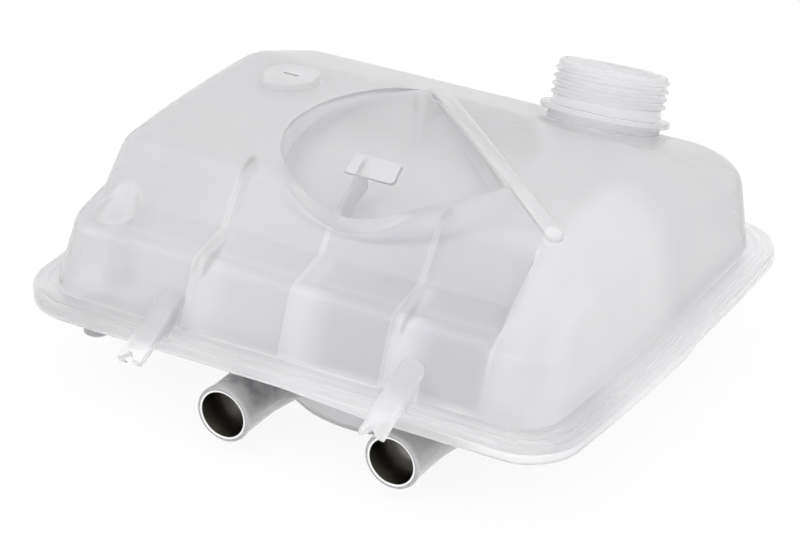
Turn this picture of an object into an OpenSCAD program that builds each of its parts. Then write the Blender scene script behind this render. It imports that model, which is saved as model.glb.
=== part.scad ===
// Coolant expansion tank: a translucent welded tank of two mouldings with
// a leaning threaded filler neck on top, two hose spigots lined with metal
// sleeves below, clip hooks on the front of the flange and ribs inside.
// X runs along the front, Y to the back and Z up. Sizes are set out from the
// middle of the flange on the weld plane; at_datum() then moves each piece so
// that the origin lies at the tip of the locating pin.

/* [Flange] */
// Width over the welded flange, at the middle of the bowed ends
flange_w = 311; // [300:1:324]
// Depth over the welded flange
flange_d = 257; // [250:1:266]
// Bow of the two ends of the flange
flange_bow = 5; // [2:0.5:8]
// Distance from the flange edge to the foot of the wall
rim_w = 11; // [9:0.5:14]
// Thickness of the flange of each moulding
rim_t = 3.4; // [2.6:0.1:4.5]
// Depth of the lip that turns down from the lower flange
lip_h = 1; // [0.6:0.1:1.6]
// Depth of the same lip round the front right corner
lip_deep = 3.8; // [2.5:0.1:5]
// Corner radius of the flange, front left
corner_fl = 34; // [30:1:40]
// Corner radius of the flange, front right
corner_fr = 25; // [22:1:30]
// Corner radius of the flange, both back corners
corner_b = 31; // [26:1:36]

/* [Walls] */
// Wall thickness of both mouldings
wall = 2.6; // [2.2:0.1:3.2]
// Thickness of the inner baffles and outer ribs
rib_t = 2.4; // [1.8:0.1:3]

/* [Upper moulding] */
// Height of the flat top above the weld plane
top_h = 72; // [68:0.5:78]
// How much lower the front edge of the top lies
top_fall = 3; // [1:0.5:5]
// Slope of the back part of the top
back_slope = 20; // [15:0.5:22]
// Where the top starts to slope to the back
fold_y = 42; // [32:1:50]
// Height of the ledge along the front wall
ledge_h = 39; // [34:0.5:44]
// Set-back of the ledge from the flange edge, outer corner
ledge_out = 25; // [22:0.5:28]
// Set-back of the ledge from the flange edge, inner corner
ledge_in = 49; // [45:0.5:54]
// Set-back of the front edge of the top
top_in = 69; // [66:0.5:76]
// Where the ledge ends at the right-hand lobe
lobe_x = 107; // [98:1:110]

/* [Recess] */
// Radius of the round recess in the top
recess_r = 64; // [58:1:66]
// Centre of the recess along X
recess_x = 6; // [0:1:12]
// Centre of the recess along Y
recess_y = -3; // [-6:1:2]
// Lowest point of the recess floor above the weld plane
recess_z = 50; // [46:0.5:56]

/* [Filler neck] */
// Major diameter of the neck thread
neck_d = 58; // [56:0.5:60]
// Pitch of the neck thread
neck_pitch = 4; // [3:0.5:5]
// Depth of the neck thread
thread_h = 1.5; // [1:0.1:1.8]
// Height of the neck above its collar
neck_h = 22; // [20:0.5:26]
// Bore of the neck
neck_bore = 49; // [44:0.5:50]
// Diameter of the collar below the thread
collar_d = 66; // [63:0.5:68]
// Lean of the neck to the back
neck_lean = 21.5; // [16:0.5:24]
// Position of the collar along X
neck_x = 63.5; // [58:0.5:70]
// Position of the collar along Y
neck_y = 87; // [84:0.5:88]

/* [Hose spigots] */
// Bore of the metal sleeves
sleeve_bore = 23.3; // [21:0.1:24]
// Wall of the metal sleeves
sleeve_t = 0.7; // [0.5:0.1:1]
// Length of the metal sleeves
sleeve_l = 38; // [30:1:44]
// Wall of the spigots round the sleeves
spigot_t = 1.5; // [1.2:0.1:2]
// Height of the bead at the spigot ends
bead_h = 0.55; // [0.3:0.05:1]
// Distance between the spigots
spigot_pitch = 90; // [84:1:96]
// Middle between the spigots along X
spigot_x = 24; // [20:1:28]
// Depth of the spigots below the weld plane
spigot_z = 24.5; // [23:0.5:26]
// How far the spigots stand out before the flange, on average
spigot_out = 3.5; // [1:0.5:7]
// How much further the left spigot stands out than the right one
spigot_step = 4.5; // [0:0.5:8]

/* [Clip hooks] */
// Distance between the clip hooks
hook_pitch = 133; // [126:1:140]
// Width of a clip hook
hook_w = 13; // [10:0.5:16]
// Reach of the hooks before the flange
hook_out = 20; // [16:0.5:22]

/* [Hidden] */
$fn = 96;

// Flange and corner values
half_w = flange_w / 2;
half_d = flange_d / 2;
bow_k = flange_bow / half_w;
side_draft = 0.24;
steep_draft = 0.12;
corner_shrink = 0.45;
corner_shrink_left = 0.95;
corner_min = 6;
left_edge_r = 9;
right_edge_r = 24;
back_edge_r = 18;

// Values of the top
front_z = top_h - top_fall;
fold_len = 16;
crest_y = 20;
back_in = rim_w + 1.4 + back_edge_r;
back_y = half_d - back_in;
back_z = crown(back_y);

// How the rings are divided
front_steps = 7;
lobe_steps = 2;
side_steps = 5;
lip_steps = 3;
back_steps = 6;
corner_steps = 7;
edge_blend = 0.7;
lobe_min = 4;

// Baffles, fins and the tab in the recess
baffle_pitch = 55;
baffle_depth = 48;
fin_t = 3.4;
fin_depth = 7;
tab_w = 27;
tab_l = 11.5;
tab_t = 2.4;
web_t = 2;
tab_x = 7;
tab_y = -47.6;
tab_z = top_h - 1.5;
tab_tilt = 37.4;
web_shape = [
    [-20, -13.5], [-15, -10.5], [-8, -6.5], [-2.5, -4.5], [0.5, -1], [9, 5.5], [9, -11], [-12, -20], [-20, -18]
];

// Recess floor, diagonal ridge, blanked port, post and locating pin
recess_tilt = 9.8;
recess_sides = 80;
ridge_r = 4.2;
ridge_rise = 2.2;
ridge_base = 1.05;
ridge_sink = 0.7;
ridge_foot = 0.9;
ridge_from = [111, -54];
ridge_to = [-18, 58];
ridge_parts = 8;
ridge_arc = 8;
port_r = 15.5;
port_h = 3.4;
port_round = 2.4;
port_pos = [-84, 26];
slot_l = 9;
slot_w = 1.5;
slot_deep = 0.8;
post_r = 7.5;
post_head_r = 12.5;
post_head_z = 29;
post_top = 50;
post_bore = 5;
post_pos = [-113, -86];
pin_r = 7;
pin_z = 17;
pin_root = 5.4;
pin_gap = 4;
pin_pad_w = 2.5;
pin_pos = [-111, -109];

// Lip below the lower flange
lip_y = 6;
lip_w = 3.2;
lip_start = 10;
lip_run = 45;

// Lower moulding
bowl_h = 31;
bowl_draft = 0.28;
bowl_edge_r = 12;
bowl_front_z = 5;
bowl_front_run = 8;
bowl_front_slope = 1.75;
sump_r = 72;
sump_draft = 6;
sump_z = 39;
sump_top = 14;
sump_pos = [24, -31];
bowl_depths = [5, 9, 14, 19, 22.5, 26, 29, 30.5, bowl_h];

// Spigots
sleeve_r = sleeve_bore / 2;
spigot_in_r = sleeve_r + sleeve_t;
spigot_r = spigot_in_r + spigot_t;
bead_r = spigot_r + bead_h;
bead_l = 6;
bead_run = 2;
root_flare = 4;
root_y = 27;
function mouth_y(s) = -half_d - spigot_out + s * spigot_step / 2;
spigot_l = 64;

// Neck
neck_r = neck_d / 2;
core_r = neck_r - thread_h;
collar_r = collar_d / 2;
collar_t = 3;
collar_z = 66;
boss_r = neck_bore / 2 + 4;
boss_l = 26;
thread_turns = 4.5;
thread_start = 1.5;
thread_w = 1.3;
thread_sink = 0.5;
thread_seg = 36;
mouth_lip = 0.8;

// Hooks, measured from the flange edge
hook_x = 3;
hook_root = 17;
hook_root_z = 17;
hook_tip_z = -0.5;
hook_rise = 2.6;
hook_wall = 2;
hook_lift = 0.5;
hook_edge_z = hook_tip_z + (hook_root_z - hook_tip_z) * (hook_out + 1) / (hook_out + hook_root);

// Smooth ramp: flat before zero, a curve of length w, then a straight slope
function ramp(u, w) = u <= 0 ? 0 : u < w ? u * u / (2 * w) : u - w / 2;

// Height of the top along Y
function crown(y) =
    top_h - top_fall * pow(max(0, (crest_y - y) / (crest_y + half_d - top_in)), 2)
    - tan(back_slope) * ramp(y - fold_y, fold_len);

// Share of the way from the front height to the back height
function share(y) = (front_z - crown(y)) / (front_z - back_z);

// Point on a circular fillet between the legs to p and q at corner c
function unit(v) = v / norm(v);
function fillet(p, c, q, r, n) =
    let (a = unit(p - c), b = unit(q - c), half = acos(a * b) / 2)
    let (mid = c + unit(a + b) * r / sin(half))
    let (s = c + a * r / tan(half) - mid, e = c + b * r / tan(half) - mid)
    let (sweep = 180 - 2 * half)
    [for (i = [0:n]) mid + (s * sin(sweep * (1 - i / n)) + e * sin(sweep * i / n)) / sin(sweep)];

// Front profile as [set-back, height] points, from the rim to the top edge
ledge_knee = [ledge_out, ledge_h - 1];
ledge_root = [ledge_in, ledge_h + 3.5];
top_knee = [top_in, front_z];
foot = [rim_w + 1, rim_t + 1.2];
wall_foot = [rim_w + 2.4, rim_t + 4.6];
profile = concat(
    [[rim_w, rim_t], foot, wall_foot],
    fillet(wall_foot, ledge_knee, ledge_root, 8, 4),
    fillet(ledge_knee, ledge_root, top_knee, 6, 3),
    fillet(ledge_root, top_knee, [top_in + 22, front_z], 16, 5)
);
levels = len(profile);

// Outward normal of the front profile at a point, as [set-back, height]
function profile_normal(k) =
    let (a = profile[max(0, k - 1)], b = profile[min(levels - 1, k + 1)], d = unit(b - a))
    [-d[1], d[0]];

// Set-back and height of the front at a level, for the outer or inner face
function level_in(k, off) = profile[k][0] - off * profile_normal(k)[0];
function level_z(k, off) =
    k == levels - 1 ? front_z - off : max(0, profile[k][1] - off * profile_normal(k)[1]);

// In the lobe on the right the front rises straight past the ledge
lobe_low = fillet(wall_foot, ledge_knee, ledge_root, 8, 4)[0];
lobe_top = fillet(ledge_root, top_knee, [top_in + 22, front_z], 16, 5)[1];
function lobe_in(k, off) =
    let (p = profile[k], t = (p[1] - lobe_low[1]) / (lobe_top[1] - lobe_low[1]))
    t <= 0 || t >= 1 ? level_in(k, off)
    : lobe_low[0] + t * (lobe_top[0] - lobe_low[0]) + off * 0.8;

// Set-back of an end or back wall at a height: draft plus a rounded top edge
function wall_in(z, base, draft, r, z_top) =
    base + draft * z + (z > z_top - r ? r - sqrt(max(0, r * r - pow(z - z_top + r, 2))) : 0);

// The two ends of the flange and of every ring bow outwards
function bowed(x, y) = x * (1 - bow_k * pow(y / half_d, 2));
function corner_at(r, inset) = max(corner_min, r - corner_shrink * inset);
function left_corner_at(r, inset) = max(corner_min, r - corner_shrink_left * inset);
function steps(a, b, n) = [for (i = [0:n]) a + (b - a) * i / n];

// Closed ring of plan points from its four sides, its corner radii and its
// front line, which is y0 up to the lobe and y1 from there on
function ring(x0, x1, y0, y1, yb, r_fl, r_fr, r_b, r_bl) =
    let (split = min(lobe_x, x1 - r_fr - lobe_min)) concat(
    [for (x = steps(x0 + r_fl, split - edge_blend, front_steps)) [x, y0]],
    [for (x = steps(split + edge_blend, x1 - r_fr, lobe_steps)) [x, y1]],
    [for (i = [1:corner_steps - 1]) let (a = -90 + 90 * i / corner_steps)
        [x1 - r_fr + r_fr * cos(a), y1 + r_fr + r_fr * sin(a)]],
    [for (y = steps(y1 + r_fr, lip_y - edge_blend, lip_steps)) [x1, y]],
    [for (y = steps(lip_y + edge_blend, yb - r_b, lip_steps)) [x1, y]],
    [for (i = [1:corner_steps - 1]) let (a = 90 * i / corner_steps)
        [x1 - r_b + r_b * cos(a), yb - r_b + r_b * sin(a)]],
    [for (x = steps(x1 - r_b, x0 + r_bl, back_steps)) [x, yb]],
    [for (i = [1:corner_steps - 1]) let (a = 90 + 90 * i / corner_steps)
        [x0 + r_bl + r_bl * cos(a), yb - r_bl + r_bl * sin(a)]],
    [for (y = steps(yb - r_bl, y0 + r_fl, side_steps)) [x0, y]],
    [for (i = [1:corner_steps - 1]) let (a = 180 + 90 * i / corner_steps)
        [x0 + r_fl + r_fl * cos(a), y0 + r_fl + r_fl * sin(a)]]
);

// Plan ring of the upper moulding at a level
function upper_plan(k, off) =
    let (z = level_z(k, off), zt = front_z - off)
    let (left = wall_in(z, rim_w + 1 + off, side_draft, left_edge_r - off, zt))
    let (right = wall_in(z, rim_w + 1 + off, steep_draft, right_edge_r - off, zt))
    let (back = wall_in(z, rim_w + 1.4 + off, 0, back_edge_r - off, zt))
    let (front = level_in(k, off), lobe = lobe_in(k, off))
    ring(-half_w + left, half_w - right, -half_d + front, -half_d + lobe, half_d - back,
        left_corner_at(corner_fl, left), corner_at(corner_fr, right), corner_at(corner_b, right),
        left_corner_at(corner_b, left));

// The same ring in space: its height falls from front to back with the top
function upper_ring(k, off) =
    let (z = level_z(k, off), zt = front_z - off)
    let (zb = z * (back_z - off) / zt)
    [for (p = upper_plan(k, off)) [bowed(p[0], p[1]), p[1], z + share(p[1]) * (zb - z)]];

// Plain ring of the flange, set back from its edge
function flange_plan(inset) =
    ring(-half_w + inset, half_w - inset, -half_d + inset, -half_d + inset, half_d - inset,
        left_corner_at(corner_fl, inset), corner_at(corner_fr, inset), corner_at(corner_b, inset),
        left_corner_at(corner_b, inset));
function flange_ring(inset, z) = [for (p = flange_plan(inset)) [bowed(p[0], p[1]), p[1], z]];

// Rings that close the top towards its middle and follow its crown
top_mid = [0, (back_y - half_d + top_in) / 2];
function cap_ring(s, off) =
    [for (p = upper_plan(levels - 1, off))
        let (q = top_mid + (p - top_mid) * s) [bowed(q[0], q[1]), q[1], crown(q[1]) - off]];
cap_shares = [0.86, 0.7, 0.5, 0.25];

// Skin over a stack of closed rings, with a point at each end
module loft(first, rings, last) {
    n = len(rings[0]);
    m = len(rings);
    points = concat([first], [for (r = rings) for (p = r) p], [last]);
    function at(i, j) = 1 + i * n + j % n;
    faces = concat(
        [for (j = [0:n - 1]) [0, at(0, j + 1), at(0, j)]],
        [for (i = [0:m - 2]) for (j = [0:n - 1]) [at(i, j), at(i, j + 1), at(i + 1, j)]],
        [for (i = [0:m - 2]) for (j = [0:n - 1]) [at(i + 1, j), at(i, j + 1), at(i + 1, j + 1)]],
        [for (j = [0:n - 1]) [1 + m * n, at(m - 1, j), at(m - 1, j + 1)]]
    );
    polyhedron(points, faces, convexity = 8);
}

// Rings of one face of the upper moulding, from the middle of the top down
function upper_rings(off) = concat(
    [for (i = [len(cap_shares) - 1:-1:0]) cap_ring(cap_shares[i], off)],
    [for (k = [levels - 1:-1:1]) upper_ring(k, off)]
);
function reversed(list) = [for (i = [len(list) - 1:-1:0]) list[i]];

top_point = [top_mid[0], top_mid[1], crown(top_mid[1])];
groove = [4, 0.7];

// The part's origin is the tip of the locating pin, which holds it in the car
module at_datum() {
    translate([-pin_pos[0], -pin_pos[1], pin_z]) children();
}

module upper_outer() {
    loft(top_point,
        concat(upper_rings(0), [
            flange_ring(rim_w, rim_t), flange_ring(groove[0] + 0.4, rim_t),
            flange_ring(groove[0], rim_t - groove[1]), flange_ring(0.8, rim_t - groove[1]),
            flange_ring(0, rim_t - 2 * groove[1]), flange_ring(0, 0)
        ]),
        [0, 0, 0]);
}

module upper_inner() {
    loft(top_point - [0, 0, wall],
        concat(upper_rings(wall), [flange_ring(rim_w + wall, -1)]),
        [0, 0, -1]);
}

// Round recess, cut off straight along the ridge; grow adds to all its sides
function recess_ring(r, z) =
    [for (i = [0:recess_sides - 1]) let (a = 360 * i / recess_sides) [r * cos(a), r * sin(a), z]];
ridge_angle = atan2(ridge_from[1] - ridge_to[1], ridge_from[0] - ridge_to[0]);
module recess(grow) {
    intersection() {
        translate([recess_x, recess_y, recess_z + recess_r * sin(recess_tilt) - grow])
            rotate([recess_tilt, 0, 0])
                loft([0, 0, 60], [for (z = [60, 0]) recess_ring(recess_r + grow, z)], [0, 0, 0]);
        translate([ridge_from[0], ridge_from[1], 0])
            rotate([0, 0, ridge_angle]) translate([-300, -300 + grow, 0]) cube([600, 300, 120]);
    }
}

// Rounded ridge that follows the top from one end to the other
function ridge_point(t) =
    let (p = ridge_from + (ridge_to - ridge_from) * t) [p[0], p[1], crown(p[1]) - ridge_sink];
function ridge_way(t) = unit(ridge_point(t + 0.01) - ridge_point(t - 0.01));
ridge_section = concat(
    [[-ridge_r, -ridge_foot]],
    [for (i = [0:ridge_arc]) let (a = 180 - 180 * i / ridge_arc)
        [ridge_r * cos(a), ridge_base + ridge_rise * sin(a)]],
    [[ridge_r, -ridge_foot]]
);
function ridge_ring(t, size, shift) =
    let (d = ridge_way(t), side = unit(cross([0, 0, 1], d)), up = cross(d, side))
    [for (p = ridge_section) ridge_point(t) + d * shift + size * (side * p[0] + up * p[1])];
module ridge() {
    ends = [for (a = [60, 30]) [cos(a), ridge_r * sin(a)]];
    loft(ridge_point(0) - ridge_way(0) * ridge_r,
        concat(
            [for (e = ends) ridge_ring(0, e[0], -e[1])],
            [for (i = [0:ridge_parts]) ridge_ring(i / ridge_parts, 1, 0)],
            [for (e = reversed(ends)) ridge_ring(1, e[0], e[1])]
        ),
        ridge_point(1) + ridge_way(1) * ridge_r);
}

// Blanked port: a low round boss with a slot mark
module port() {
    z = crown(port_pos[1]);
    translate([port_pos[0], port_pos[1], z - wall / 2]) {
        cylinder(r = port_r, h = port_h - port_round + wall / 2);
        cylinder(r = port_r - port_round, h = port_h + wall / 2);
        translate([0, 0, port_h - port_round + wall / 2]) rotate_extrude()
            intersection() {
                translate([port_r - port_round, 0]) circle(r = port_round, $fn = 32);
                square([port_r, port_round]);
            }
    }
}
module port_slot() {
    translate([port_pos[0] - slot_l / 2, port_pos[1] - slot_w / 2,
        crown(port_pos[1]) + port_h - slot_deep]) cube([slot_l, slot_w, 3]);
}

// Inner post below the ledge, a tube with a wide head
module post() {
    translate([post_pos[0], post_pos[1], -2]) difference() {
        union() {
            cylinder(r = post_r, h = post_top);
            translate([0, 0, post_head_z - 8]) cylinder(r1 = post_r, r2 = post_head_r, h = 8);
            translate([0, 0, post_head_z]) cylinder(r = post_head_r, h = post_top - post_head_z);
        }
        translate([0, 0, -1]) cylinder(r = post_bore, h = post_head_z + 7);
    }
}

// Rib in the YZ plane that follows the front profile over a given depth
fin_from = 8;
function fin_side(off) = [for (k = [fin_from:levels - 1]) [-half_d + level_in(k, off), level_z(k, off)]];
module fin(x, t) {
    translate([x - t / 2, 0, 0]) rotate([90, 0, 90]) linear_extrude(t)
        polygon(concat(fin_side(wall / 2), reversed(fin_side(wall / 2 + fin_depth))));
}

module baffles() {
    for (x = [-baffle_pitch, 0, baffle_pitch])
        translate([x - rib_t / 2, -half_d, -2]) cube([rib_t, rim_w + baffle_depth, top_h]);
    for (x = [-baffle_pitch, baffle_pitch]) fin(x, fin_t);
}

// Tab on a fin in the recess
module tab() {
    translate([tab_x, tab_y, tab_z]) rotate([tab_tilt, 0, 0])
        translate([-tab_w / 2, 0, -tab_t]) cube([tab_w, tab_l, tab_t]);
    translate([-web_t / 2, tab_y, tab_z]) rotate([90, 0, 90]) linear_extrude(web_t) polygon(web_shape);
}

module at_neck() {
    translate([neck_x, neck_y, collar_z]) rotate([-neck_lean, 0, 0]) children();
}

// One helical thread ridge; its sections lie in planes through the axis
function thread_point(s, k) =
    let (a = 360 * s / thread_seg, z = thread_start + thread_w + neck_pitch * s / thread_seg)
    let (fade = max(0.15, min(1, min(s, thread_turns * thread_seg - s) / 6)))
    let (r = k == 0 || k == 3 ? core_r - thread_sink : core_r - thread_sink + (thread_h + thread_sink) * fade)
    let (dz = [-thread_w, -thread_w / 4, thread_w / 4, thread_w][k])
    [r * cos(a), r * sin(a), z + dz];
module thread() {
    n = thread_turns * thread_seg;
    points = [for (s = [0:n]) for (k = [0:3]) thread_point(s, k)];
    function at(s, k) = 4 * s + k % 4;
    polyhedron(points, concat(
        [for (s = [0:n - 1]) for (k = [0:3]) [at(s, k), at(s, k + 1), at(s + 1, k)]],
        [for (s = [0:n - 1]) for (k = [0:3]) [at(s + 1, k), at(s, k + 1), at(s + 1, k + 1)]],
        [[at(0, 0), at(0, 3), at(0, 2)], [at(0, 0), at(0, 2), at(0, 1)]],
        [[at(n, 0), at(n, 1), at(n, 2)], [at(n, 0), at(n, 2), at(n, 3)]]
    ), convexity = 10);
}
module neck_outer() {
    at_neck() {
        translate([0, 0, -boss_l]) cylinder(r = boss_r, h = boss_l);
        translate([0, 0, -collar_t]) cylinder(r = collar_r, h = collar_t);
        cylinder(r = core_r, h = neck_h);
    }
}
module neck_hollow() {
    at_neck() translate([0, 0, -boss_l - 10]) cylinder(d = neck_bore, h = boss_l + neck_h + 20);
}

// Clip hook: an arched strap that slopes from the wall over the flange, and
// a wedge that carries it up to the flange edge
module hook(x) {
    slope = atan2(hook_root_z - hook_tip_z, hook_out + hook_root);
    w = hook_w / 2;
    translate([x, -half_d - hook_out, hook_tip_z]) rotate([90 - slope, 0, 180])
        linear_extrude(norm([hook_out + hook_root, hook_root_z - hook_tip_z]) + 2 * hook_wall)
            polygon([
                [-w, -hook_rise], [-w, 0], [-w / 2, hook_rise * 0.8], [0, hook_rise], [w / 2, hook_rise * 0.8],
                [w, 0], [w, -hook_rise], [w - hook_wall, -hook_rise], [w / 2, -hook_wall / 2], [0, 0],
                [-w / 2, -hook_wall / 2], [-w + hook_wall, -hook_rise]
            ]);
    translate([x - w + 1, 0, 0]) rotate([90, 0, 90]) linear_extrude(hook_w - 2)
        polygon([
            [-half_d + hook_root, hook_root_z + hook_lift], [-half_d + 1, hook_edge_z + hook_lift],
            [-half_d + 1, rim_t - 1], [-half_d + hook_root, rim_t - 1]
        ]);
}

module upper_shell() {
    color([0.86, 0.86, 0.87]) at_datum() {
        difference() {
            union() {
                upper_outer();
                port();
                neck_outer();
                for (x = [hook_x - hook_pitch / 2, hook_x + hook_pitch / 2]) hook(x);
            }
            difference() {
                upper_inner();
                recess(wall);
                baffles();
                post();
            }
            neck_hollow();
            port_slot();
            recess(0);
        }
        ridge();
        tab();
        at_neck() thread();
    }
}

// Lower moulding: depth of the lip under the flange at a plan point
function lip(p) =
    p[1] > lip_y ? lip_h : lip_h + (lip_deep - lip_h) * min(1, max(0, (p[0] - lip_start) / lip_run));
function lip_ring(inset) =
    [for (p = flange_plan(inset)) [bowed(p[0], p[1]), p[1], -rim_t - lip(p)]];

// Plan ring of the bowl at a depth; its front is set back below the flange
function bowl_ring(d, off) =
    let (side = wall_in(d, rim_w + 1 + off, bowl_draft, bowl_edge_r - off, bowl_h - off))
    let (front = side + bowl_front_slope * ramp(d - bowl_front_z, bowl_front_run))
    let (plan = ring(-half_w + side, half_w - side, -half_d + front, -half_d + front, half_d - side,
        left_corner_at(corner_fl, side), corner_at(corner_fr, side), corner_at(corner_b, side),
        left_corner_at(corner_b, side)))
    [for (p = plan) [bowed(p[0], p[1]), p[1], -d]];
function bowl_rings(off) = [for (d = bowl_depths) bowl_ring(min(d, bowl_h - off), off)];

module lower_outer() {
    loft([0, 0, 0],
        concat([
            flange_ring(0, 0), flange_ring(0, -rim_t + 0.8), lip_ring(0), lip_ring(lip_w),
            flange_ring(lip_w + 0.3, -rim_t), flange_ring(rim_w, -rim_t)
        ], bowl_rings(0)),
        [0, 0, -bowl_h]);
}
module lower_inner() {
    loft([0, 0, 1],
        concat([flange_ring(rim_w + wall, 1)], bowl_rings(wall)),
        [0, 0, -bowl_h + wall]);
}
module sump(off) {
    translate([sump_pos[0], sump_pos[1], -sump_z + off])
        cylinder(r1 = sump_r - off - sump_draft, r2 = sump_r - off, h = sump_z - sump_top - off);
}
module at_spigot(s) {
    translate([spigot_x + s * spigot_pitch / 2, mouth_y(s), -spigot_z]) rotate([-90, 0, 0]) children();
}
module at_spigots() {
    for (s = [-1, 1]) at_spigot(s) children();
}
module spigot_outer() {
    cylinder(r = spigot_r, h = spigot_l);
    translate([0, 0, bead_run]) cylinder(r1 = bead_r, r2 = spigot_r, h = bead_l);
    cylinder(r1 = spigot_r, r2 = bead_r, h = bead_run);
    translate([0, 0, root_y]) cylinder(r1 = spigot_r, r2 = spigot_r + root_flare, h = spigot_l - root_y);
}
module spigot_hollow() {
    translate([0, 0, -1]) cylinder(r = spigot_in_r, h = sleeve_l + 1);
    cylinder(r = sleeve_r + sleeve_t / 2, h = spigot_l + 1);
}

// Locating pin on a round pad; the bowl steps back round it so that a grommet fits
module pin() {
    translate([pin_pos[0], pin_pos[1], -pin_z]) cylinder(r = pin_r, h = pin_z - rim_t + 0.2);
}
module pin_pad() {
    translate([pin_pos[0], pin_pos[1], -pin_root - 1])
        cylinder(r = pin_r + pin_pad_w, h = pin_root + 1 - rim_t + 0.4);
}
module pin_pocket(off) {
    translate([pin_pos[0], pin_pos[1], -bowl_h - 1])
        cylinder(r = pin_r + pin_gap + off, h = bowl_h + 1 - pin_root + off);
}

module lower_shell() {
    color([0.82, 0.82, 0.83]) at_datum() {
        difference() {
            union() {
                difference() {
                    union() {
                        lower_outer();
                        pin_pad();
                    }
                    pin_pocket(0);
                }
                sump(0);
                at_spigots() spigot_outer();
            }
            difference() {
                lower_inner();
                pin_pocket(wall);
            }
            sump(wall);
            at_spigots() spigot_hollow();
        }
        pin();
    }
}

// Metal sleeve pressed into the mouth of a spigot
module sleeve(s) {
    color([0.5, 0.48, 0.45]) at_datum() at_spigot(s) difference() {
        cylinder(r = spigot_in_r, h = sleeve_l);
        translate([0, 0, -1]) cylinder(r = sleeve_r, h = sleeve_l + 2);
    }
}
module left_sleeve() { sleeve(-1); }
module right_sleeve() { sleeve(1); }

upper_shell();
lower_shell();
left_sleeve();
right_sleeve();
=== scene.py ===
import math
import bpy
import bmesh
from mathutils import Vector, Matrix


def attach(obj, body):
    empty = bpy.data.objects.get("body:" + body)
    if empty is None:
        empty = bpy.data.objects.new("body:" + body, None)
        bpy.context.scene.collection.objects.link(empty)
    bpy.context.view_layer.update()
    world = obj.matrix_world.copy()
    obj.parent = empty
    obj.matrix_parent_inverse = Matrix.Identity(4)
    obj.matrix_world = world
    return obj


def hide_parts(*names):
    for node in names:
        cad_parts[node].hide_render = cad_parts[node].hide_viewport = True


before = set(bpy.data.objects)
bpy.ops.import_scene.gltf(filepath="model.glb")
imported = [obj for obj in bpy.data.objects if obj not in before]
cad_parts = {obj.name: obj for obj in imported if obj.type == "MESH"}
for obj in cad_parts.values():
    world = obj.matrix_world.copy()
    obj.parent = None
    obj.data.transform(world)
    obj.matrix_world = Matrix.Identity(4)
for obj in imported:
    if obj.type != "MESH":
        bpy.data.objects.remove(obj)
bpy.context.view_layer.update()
mm = 0.001
print("stage: frame loaded")

# Sizes in mm from the middle of the flange on the weld plane; datum moves them to the pin tip
pinTip = (-111, -109, -17)
datum = Matrix.Translation([-v * mm for v in pinTip])
onAxis = 0.001  # revolved outlines start this far from their axis
tank = {
    "flangeW": 311, "flangeD": 257, "bow": 5, "rimW": 11, "rimT": 3.4, "wall": 2.6,
    "lip": 1, "lipDeep": 3.8, "lipY": 6, "lipX": 10, "lipRun": 45,
    "cornerFl": 34, "cornerFr": 25, "cornerB": 31,
    "topH": 72, "topFall": 3, "backSlope": 20, "foldY": 42, "foldLen": 16, "crestY": 20,
    "ledgeH": 39, "ledgeDrop": 1, "ledgeRise": 3.5, "ledgeOut": 25, "ledgeIn": 49,
    "topIn": 69, "topRun": 22, "kneeOutR": 8, "kneeInR": 6, "topEdgeR": 16, "lobeX": 107,
    "sideGap": 1, "backGap": 1.4, "sideDraft": 0.24, "steepDraft": 0.12,
    "leftEdge": 9, "rightEdge": 24, "backEdge": 18,
    "cornerShrink": 0.45, "cornerShrinkLeft": 0.95, "cornerMin": 6, "lobeBlend": 0.7, "lobeMin": 4,
    "lobeOff": 0.8,
}
steps = {"front": 44, "lobe": 4, "side": 14, "back": 24, "corner": 14, "fillet": 7, "edge": 3,
         "wide": 160, "neck": 128, "round": 96, "small": 64, "shellAngle": 38, "sleeveAngle": 50}
halfW = tank["flangeW"] / 2
halfD = tank["flangeD"] / 2
frontZ = tank["topH"] - tank["topFall"]


# 0 up to u = 0, bends over the length w, then climbs one for one
def ramp(u, w):
    return 0 if u <= 0 else u * u / (2 * w) if u < w else u - w / 2


# Height of the top at y: it falls a little towards the front and bends down at the back
def crown(y):
    fall = max(0, (tank["crestY"] - y) / (tank["crestY"] + halfD - tank["topIn"])) ** 2
    slope = math.tan(math.radians(tank["backSlope"])) * ramp(y - tank["foldY"], tank["foldLen"])
    return tank["topH"] - tank["topFall"] * fall - slope


backY = halfD - tank["rimW"] - tank["backGap"] - tank["backEdge"]
backZ = crown(backY)


# How far a ring is lowered at y: 0 where the top is as high as in front, 1 at the back
def share(y):
    return (frontZ - crown(y)) / (frontZ - backZ)


# A round of radius r in the corner c between p and q, in n steps
def fillet(p, c, q, r, n):
    p, c, q = Vector(p), Vector(c), Vector(q)
    a, b = (p - c).normalized(), (q - c).normalized()
    half = math.acos(max(-1, min(1, a.dot(b)))) / 2
    mid = c + (a + b).normalized() * r / math.sin(half)
    s, e = c + a * r / math.tan(half) - mid, c + b * r / math.tan(half) - mid
    sweep = math.pi - 2 * half
    out = []
    for i in range(n + 1):
        t = i / n
        out.append(mid + (s * math.sin(sweep * (1 - t)) + e * math.sin(sweep * t)) / math.sin(sweep))
    return out


def between(a, b, n):
    return [a + (b - a) * i / n for i in range(1, n)]


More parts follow.
